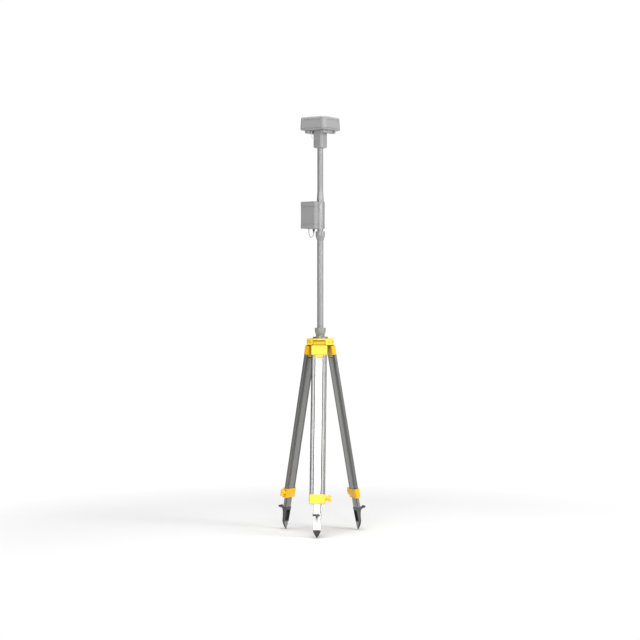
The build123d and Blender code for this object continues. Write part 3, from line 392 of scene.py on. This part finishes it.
def moulded_plastic(name, tone, shade, texture, roughness):
    """Moulded housing: spark-eroded grain, slight mottling, polished edges, dust and painted shade in
    corners.
    """
    s = Shader(name)
    colour = s.mix(s.noise(35 * MM, 3), tone, shade)
    fine = s.noise(0.7 * MM, 2)
    rub = s.calc("MULTIPLY", s.edges(2.0 * MM), s.noise(8 * MM, 3))
    # dust and painted shade: corners and gaps darkened to a brownish grey
    dust_and_shade = s.calc("MULTIPLY", s.hollows(8 * MM), s.remap(s.noise(6 * MM), 0.3, 0.7, 0.2, 0.6))
    smear = s.remap(s.noise(22 * MM, 5, s.stretched(1, 1, 0.5)), 0.5, 0.75, 0.0, 1.0)
    colour = s.mix(s.calc("MULTIPLY", rub, 0.25), colour, srgb(222, 222, 220))
    colour = s.mix(dust_and_shade, colour, srgb(112, 108, 100))
    s.set(Base_Color=colour,
          Roughness=s.calc("ADD", s.remap(fine, 0.3, 0.7, roughness - 0.04, roughness + 0.06),
                           s.calc("MULTIPLY", smear, 0.07)),
          Specular_IOR_Level=0.45)
    s.bumps([(fine, texture, 0.07 * MM), (s.cells(1.1 * MM), texture * 0.6, 0.05 * MM)], 0.9 * MM)
    return s.material


def housing_grey(leg=None):
    return moulded_plastic("housing_grey", srgb(148, 148, 149), srgb(142, 142, 143), 0.16, 0.46)


def radome_grey(leg=None):
    return moulded_plastic("radome_grey", srgb(153, 153, 154), srgb(148, 148, 149), 0.14, 0.50)


def black_plastic(leg=None):
    """Dark moulded plastic: matt, finely grained."""
    s = Shader("black_plastic")
    s.set(Base_Color=s.mix(s.noise(5 * MM), srgb(74, 74, 76), srgb(88, 88, 90)),
          Roughness=s.remap(s.noise(1.0 * MM), 0.3, 0.7, 0.42, 0.6))
    s.bumps([(s.noise(0.5 * MM), 0.25, 0.06 * MM)], 0.8 * MM)
    return s.material


def seal_rubber(leg=None):
    """Rubber seals: soft, slightly dusty."""
    s = Shader("seal_rubber")
    s.set(Base_Color=s.mix(s.noise(6 * MM), srgb(112, 112, 112), srgb(96, 96, 96)),
          Roughness=s.remap(s.noise(1.0 * MM), 0.3, 0.7, 0.65, 0.85), Sheen_Weight=0.15)
    s.bumps([(s.noise(0.8 * MM, 3), 0.3, 0.08 * MM)])
    return s.material


def cable_grey(leg=None):
    """PVC cable jacket: faint lay of the cores under it, a waxy sheen."""
    s = Shader("cable_grey")
    s.set(Base_Color=s.mix(s.noise(10 * MM), srgb(208, 208, 206), srgb(194, 194, 192)),
          Roughness=s.remap(s.noise(2 * MM), 0.3, 0.7, 0.38, 0.5))
    s.bumps([(s.noise(2.5 * MM, 2), 0.15, 0.15 * MM)])
    return s.material


def screw_steel(leg=None):
    """Turned steel fasteners: fine turning marks."""
    s = Shader("screw_steel")
    turning = s.rings(0.25 * MM)
    s.set(Base_Color=s.mix(s.noise(4 * MM), srgb(138, 137, 135), srgb(118, 117, 116)), Metallic=1.0,
          Roughness=s.remap(turning, 0.2, 0.8, 0.32, 0.46))
    s.bumps([(turning, 0.15, 0.04 * MM)], 0.3 * MM)
    return s.material


def insert_brass(leg=None):
    """Turned brass: fine turning marks, some tarnish."""
    s = Shader("insert_brass")
    turning = s.rings(0.3 * MM)
    s.set(Base_Color=s.mix(s.noise(5 * MM, 4), srgb(206, 172, 98), srgb(172, 132, 66)), Metallic=1.0,
          Roughness=s.remap(turning, 0.2, 0.8, 0.22, 0.36))
    s.bumps([(turning, 0.15, 0.05 * MM)], 0.3 * MM)
    return s.material


def board_green(leg=None):
    """Circuit board: solder mask over raised tracks."""
    s = Shader("board_green")
    tracks = s.remap(s.cells(5 * MM, "DISTANCE_TO_EDGE"), 0.04, 0.08, 1.0, 0.0)
    s.set(Base_Color=s.mix(tracks, srgb(14, 76, 44), srgb(36, 112, 66)),
          Roughness=s.remap(s.noise(2 * MM), 0.3, 0.7, 0.25, 0.4))
    s.bumps([(tracks, 0.3, 0.1 * MM)])
    return s.material


def antenna_ceramic(leg=None):
    """Fired ceramic patch: dry and grainy."""
    s = Shader("antenna_ceramic")
    s.set(Base_Color=s.mix(s.noise(3 * MM, 5), srgb(206, 196, 176), srgb(184, 172, 150)),
          Roughness=s.remap(s.noise(1.5 * MM), 0.3, 0.7, 0.5, 0.68))
    s.bumps([(s.noise(0.9 * MM, 4), 0.25, 0.1 * MM)], 0.6 * MM)
    return s.material


def ground_aluminium(leg=None):
    """Brushed aluminium sheet."""
    s = Shader("ground_aluminium")
    brushed = s.noise(0.4 * MM, 2, s.stretched(0.02, 1, 1))
    s.set(Base_Color=s.mix(brushed, srgb(196, 196, 196), srgb(176, 176, 178)), Metallic=1.0,
          Roughness=s.remap(brushed, 0.2, 0.8, 0.26, 0.42))
    s.bumps([(brushed, 0.15, 0.04 * MM)])
    return s.material


def battery_black(leg=None):
    """Shrink-wrapped cells: a soft wrinkled film."""
    s = Shader("battery_black")
    s.set(Base_Color=s.mix(s.noise(12 * MM), srgb(38, 40, 44), srgb(52, 54, 58)),
          Roughness=s.remap(s.noise(6 * MM, 4), 0.3, 0.7, 0.3, 0.5))
    s.bumps([(s.noise(7 * MM, 4), 0.3, 0.4 * MM)], 1.0 * MM)
    return s.material


def lens_smoke(leg=None):
    """Smoked clear plastic, polished."""
    s = Shader("lens_smoke")
    s.set(Base_Color=s.mix(s.noise(8 * MM), srgb(30, 30, 34), srgb(38, 38, 42)),
          Roughness=s.remap(s.noise(4 * MM, 4), 0.4, 0.7, 0.08, 0.16), Coat_Weight=0.6)
    s.bumps([(s.noise(6 * MM), 0.04, 0.1 * MM)])
    return s.material


def bush_nylon(leg=None):
    """Turned nylon, slightly translucent."""
    s = Shader("bush_nylon")
    s.set(Base_Color=s.mix(s.noise(8 * MM), srgb(225, 221, 208), srgb(206, 201, 186)),
          Roughness=s.remap(s.noise(2 * MM), 0.3, 0.7, 0.42, 0.55), Subsurface_Weight=0.1)
    s.bumps([(s.rings(0.5 * MM), 0.15, 0.06 * MM)], 0.6 * MM)
    return s.material


# each material takes the leg it is for, or None; only those with a grain or a facing side use it
SLOT_MATERIALS = {
    "yellow_enamel": yellow_enamel, "yellow_plastic": yellow_plastic, "leg_aluminium": leg_aluminium,
    "inner_leg_aluminium": inner_leg_aluminium, "shoe_steel": shoe_steel, "tip_steel": tip_steel,
    "mast_grey": mast_grey, "mast_bright": mast_bright, "dark_anodised": dark_anodised,
    "housing_grey": housing_grey, "radome_grey": radome_grey, "black_plastic": black_plastic,
    "seal_rubber": seal_rubber, "cable_grey": cable_grey, "screw_steel": screw_steel,
    "insert_brass": insert_brass, "board_green": board_green, "antenna_ceramic": antenna_ceramic,
    "ground_aluminium": ground_aluminium, "battery_black": battery_black, "lens_smoke": lens_smoke,
    "bush_nylon": bush_nylon,
}
made = {}


def material_for(slot, node):
    """The slot's material; the legs have one each, with its grain along the leg."""
    leg = node[4] if node.startswith("leg_") else None
    if (slot, leg) not in made:
        made[slot, leg] = SLOT_MATERIALS[slot](leg)
    return made[slot, leg]


def dress_nodes():
    for part in RECORD["subparts"]:
        node = NODES[part["node"]]
        node.data.materials.clear()
        node.data.materials.append(material_for(part["material_slot"], part["node"]))


# ---- pieces made here ----
def finish_piece(name, shape, slots, body, node):
    """Puts a shape in the scene as a piece that rides on a body and stands for a CAD node."""
    mesh = bpy.data.meshes.new(name)
    shape.to_mesh(mesh)
    shape.free()
    piece = bpy.data.objects.new(name, mesh)
    scene.collection.objects.link(piece)
    for slot in slots:
        mesh.materials.append(material_for(slot, name))
    mesh.polygons.foreach_set("use_smooth", [True] * len(mesh.polygons))
    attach(piece, body)
    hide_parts(node)


def add_ring(shape, centre, radius, across, other):
    """One loop of vertices around a centre, in the plane of two directions."""
    loop = []
    for i in range(TUBE_SIDES):
        turn = 2 * math.pi * i / TUBE_SIDES
        offset = across * math.cos(turn) * radius + other * math.sin(turn) * radius
        loop.append(shape.verts.new(centre + offset))
    return loop


def skin(shape, loops, slot):
    """Quads between neighbouring loops, with a cap at both ends."""
    for first, second in zip(loops, loops[1:]):
        for i in range(TUBE_SIDES):
            j = (i + 1) % TUBE_SIDES
            shape.faces.new((first[i], first[j], second[j], second[i])).material_index = slot
    shape.faces.new(list(reversed(loops[0]))).material_index = slot
    shape.faces.new(loops[-1]).material_index = slot


def smooth_path(points):
    """Points on a smooth curve through the given points."""
    points = [Vector(point) for point in points]
    padded = [2 * points[0] - points[1], *points, 2 * points[-1] - points[-2]]
    path = []
    for before, start, end, after in zip(padded, padded[1:], padded[2:], padded[3:]):
        for step in range(PATH_STEPS):
            t = step / PATH_STEPS
            path.append(0.5 * (2 * start + (end - before) * t
                               + (2 * before - 5 * start + 4 * end - after) * t ** 2
                               + (3 * start - before - 3 * end + after) * t ** 3))
    path.append(points[-1])
    return path


def sweep_tube(shape, path, radius):
    """Round tube along a path, its section carried along without twist."""
    loops = []
    across = Vector((0, 1, 0))
    for i, point in enumerate(path):
        ahead = (path[min(i + 1, len(path) - 1)] - path[max(i - 1, 0)]).normalized()
        across = (across - ahead * across.dot(ahead)).normalized()
        loops.append(add_ring(shape, point, radius, across, ahead.cross(across)))
    skin(shape, loops, 0)


def turn_profile(shape, centre, profile, slot):
    """Solid turned about a vertical axis from (radius, height) points."""
    loops = []
    for radius, height in profile:
        level = centre + Vector((0, 0, height))
        loops.append(add_ring(shape, level, radius, Vector((1, 0, 0)), Vector((0, 1, 0))))
    skin(shape, loops, slot)


def plug_profile(plug_radius):
    """The plug's (radius, height) outline, measured down from the box: ribs, grip, lip and stem."""
    outline = [(CABLE_RADIUS, -PLUG_LENGTH - 4 * MM)]
    for rib in range(RIB_COUNT):
        height = -PLUG_LENGTH - 3 * MM + rib * RIB_PITCH
        radius = CABLE_RADIUS + RIB_FIRST + RIB_GROWTH * rib
        outline.append((radius, height))
        outline.append((radius, height + RIB_WIDTH))
        outline.append((radius - RIB_DEPTH, height + RIB_WIDTH + RIB_GROOVE))
    outline.append((plug_radius, -PLUG_LENGTH + 6.5 * MM))
    outline.append((plug_radius, -4 * MM))
    outline.append((plug_radius - PLUG_LIP, -3.2 * MM))
    outline.append((plug_radius - PLUG_STEM_INSET, -3.1 * MM))
    outline.append((plug_radius - PLUG_STEM_INSET, 2 * MM))
    return outline


def box_cable_loop():
    """Thin cable that hangs in a loop under the box, with its ribbed plug."""
    low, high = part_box("box_cable")
    plug_radius = (high.y - low.y) / 2
    plug_x = high.x - plug_radius
    gland_x = low.x + CABLE_RADIUS
    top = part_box("box_bottom_cap")[0].z
    bottom = low.z + CABLE_RADIUS
    middle = (plug_x + gland_x) / 2
    drop = top - bottom
    shape = bmesh.new()
    path = smooth_path([
        (gland_x, 0, top + 4 * MM),
        (gland_x - 0.5 * MM, 0, top - 0.3 * drop),
        (gland_x + 1.5 * MM, 1.5 * MM, bottom + 0.25 * drop),
        (middle - 2 * MM, 2 * MM, bottom),
        (plug_x - 4 * MM, 1 * MM, bottom + 0.22 * drop),
        (plug_x, 0, top - 0.45 * drop),
        (plug_x, 0, top - PLUG_LENGTH),
    ])
    sweep_tube(shape, path, CABLE_RADIUS)
    turn_profile(shape, Vector((plug_x, 0, top)), plug_profile(plug_radius), 1)
    finish_piece("box_cable_loop", shape, ("cable_grey", "black_plastic"), "power_box", "box_cable")


def head_cable():
    """Short cable that bows out from under the head into the neck."""
    low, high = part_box("receiver_cable")
    radius = HEAD_CABLE_RADIUS
    shape = bmesh.new()
    path = smooth_path([
        (low.x + 5 * MM, low.y + radius, high.z),
        (low.x + 1.5 * MM, low.y + 2 * MM, (low.z + high.z) / 2 + 4 * MM),
        (low.x + 3 * MM, low.y + 4 * MM, low.z + 5 * MM),
        (high.x - radius, high.y - 3 * MM, low.z + radius),
        (high.x - radius, high.y, low.z + radius),
    ])
    sweep_tube(shape, path, radius)
    finish_piece("head_cable", shape, ("cable_grey",), "receiver", "receiver_cable")


# ---- studio ----
def floor_material():
    """Pale paper that fades to plain white away from the object."""
    s = Shader("floor_paper")
    tone = s.mix(s.noise(0.9, 2), srgb(236), srgb(240))
    s.set(Base_Color=tone, Roughness=s.remap(s.noise(0.02, 3), 0.3, 0.7, 0.7, 0.85))
    s.feed(s.surface, "Normal", s.add("ShaderNodeBump", {
        "Height": s.noise(0.004, 3), "Strength": 0.05, "Distance": 0.001}).outputs[0])
    flat = s.add("ShaderNodeVectorMath", {0: s.position, 1: (1, 1, 0)}, operation="MULTIPLY")
    reach = s.add("ShaderNodeVectorMath", {0: flat.outputs[0]}, operation="LENGTH")
    far = s.add("ShaderNodeMapRange", {
        "Value": reach.outputs["Value"], "From Min": FLOOR_FADE_START, "From Max": FLOOR_FADE_END,
        "To Min": 0.0, "To Max": 1.0}, interpolation_type="SMOOTHSTEP")
    glow = s.add("ShaderNodeEmission", {"Color": (1, 1, 1, 1), "Strength": PAPER_WHITE})
    blend = s.add("ShaderNodeMixShader", {0: far.outputs[0], 1: s.surface.outputs[0], 2: glow.outputs[0]})
    output = s.tree.nodes["Material Output"]
    s.tree.links.new(blend.outputs[0], output.inputs["Surface"])
    return s.material


def add_floor():
    bpy.ops.mesh.primitive_plane_add(size=FLOOR_SIZE, location=(0, 0, cad_low.z))
    floor = bpy.context.object
    floor.name = "floor"
    floor.data.materials.append(floor_material())


def direction(azimuth, elevation):
    """Unit vector from the object towards a place in the studio; azimuth is the camera's kind."""
    turn, rise = math.radians(azimuth), math.radians(elevation)
    return Vector((math.sin(turn) * math.cos(rise), -math.cos(turn) * math.cos(rise), math.sin(rise)))


def add_softbox(name, azimuth, elevation, distance, width, height, power, aim_height):
    aim = Vector((0, 0, aim_height))
    light = bpy.data.lights.new(name, "AREA")
    light.shape = "RECTANGLE"
    light.size = width
    light.size_y = height
    light.energy = power
    lamp = bpy.data.objects.new(name, light)
    scene.collection.objects.link(lamp)
    lamp.location = aim + direction(azimuth, elevation) * distance
    lamp.rotation_euler = (aim - lamp.location).to_track_quat("-Z", "Y").to_euler()


def add_world():
    """White to the camera; to everything else a grey room, darker on the left, bright above."""
    world = bpy.data.worlds.new("studio")
    scene.world = world
    world.use_nodes = True
    tree = world.node_tree
    ground = tree.nodes["Background"]
    coordinates = tree.nodes.new("ShaderNodeTexCoord")
    right = direction(WORLD_BRIGHT_SIDE, 0)

    def sampled(axis, span, low_tone, high_tone):
        """A tone that runs from low_tone to high_tone along a direction."""
        dot = tree.nodes.new("ShaderNodeVectorMath")
        dot.operation = "DOT_PRODUCT"
        tree.links.new(coordinates.outputs["Generated"], dot.inputs[0])
        dot.inputs[1].default_value = axis
        ramp = tree.nodes.new("ShaderNodeMapRange")
        ramp.interpolation_type = "SMOOTHSTEP"
        tree.links.new(dot.outputs["Value"], ramp.inputs["Value"])
        ramp.inputs["From Min"].default_value = span[0]
        ramp.inputs["From Max"].default_value = span[1]
        ramp.inputs["To Min"].default_value = low_tone
        ramp.inputs["To Max"].default_value = high_tone
        return ramp.outputs[0]

    sides = sampled(right, WORLD_SIDE_SPAN, WORLD_LEFT, WORLD_RIGHT)
    top = sampled((0, 0, 1), WORLD_TOP_SPAN, 0.0, WORLD_TOP)
    total = tree.nodes.new("ShaderNodeMath")
    total.operation = "ADD"
    tree.links.new(sides, total.inputs[0])
    tree.links.new(top, total.inputs[1])
    tree.links.new(total.outputs[0], ground.inputs["Strength"])
    ground.inputs["Color"].default_value = (1, 1, 1, 1)
    white = tree.nodes.new("ShaderNodeBackground")
    white.inputs["Color"].default_value = (1, 1, 1, 1)
    white.inputs["Strength"].default_value = PAPER_WHITE
    seen = tree.nodes.new("ShaderNodeLightPath")
    mixer = tree.nodes.new("ShaderNodeMixShader")
    tree.links.new(seen.outputs["Is Camera Ray"], mixer.inputs[0])
    tree.links.new(ground.outputs[0], mixer.inputs[1])
    tree.links.new(white.outputs[0], mixer.inputs[2])
    tree.links.new(mixer.outputs[0], tree.nodes["World Output"].inputs["Surface"])


def add_lights():
    for softbox in SOFTBOXES:
        add_softbox(*softbox)


def add_camera():
    camera_data = bpy.data.cameras.new("camera")
    camera_data.sensor_width = CAMERA_SENSOR
    camera_data.lens = CAMERA_LENS
    camera_data.shift_x = CAMERA_SHIFT
    camera_data.clip_end = CAMERA_CLIP
    camera = bpy.data.objects.new("camera", camera_data)
    scene.collection.objects.link(camera)
    camera.location = direction(CAMERA_AZIMUTH, 0) * CAMERA_DISTANCE + Vector((0, 0, CAMERA_HEIGHT))
    camera.rotation_euler = (math.radians(90 + CAMERA_PITCH), 0, math.radians(CAMERA_AZIMUTH))
    scene.camera = camera


scene.view_settings.view_transform = "Standard"
scene.view_settings.look = "None"
dress_nodes()
box_cable_loop()
head_cable()
add_floor()
add_world()
add_lights()
add_camera()
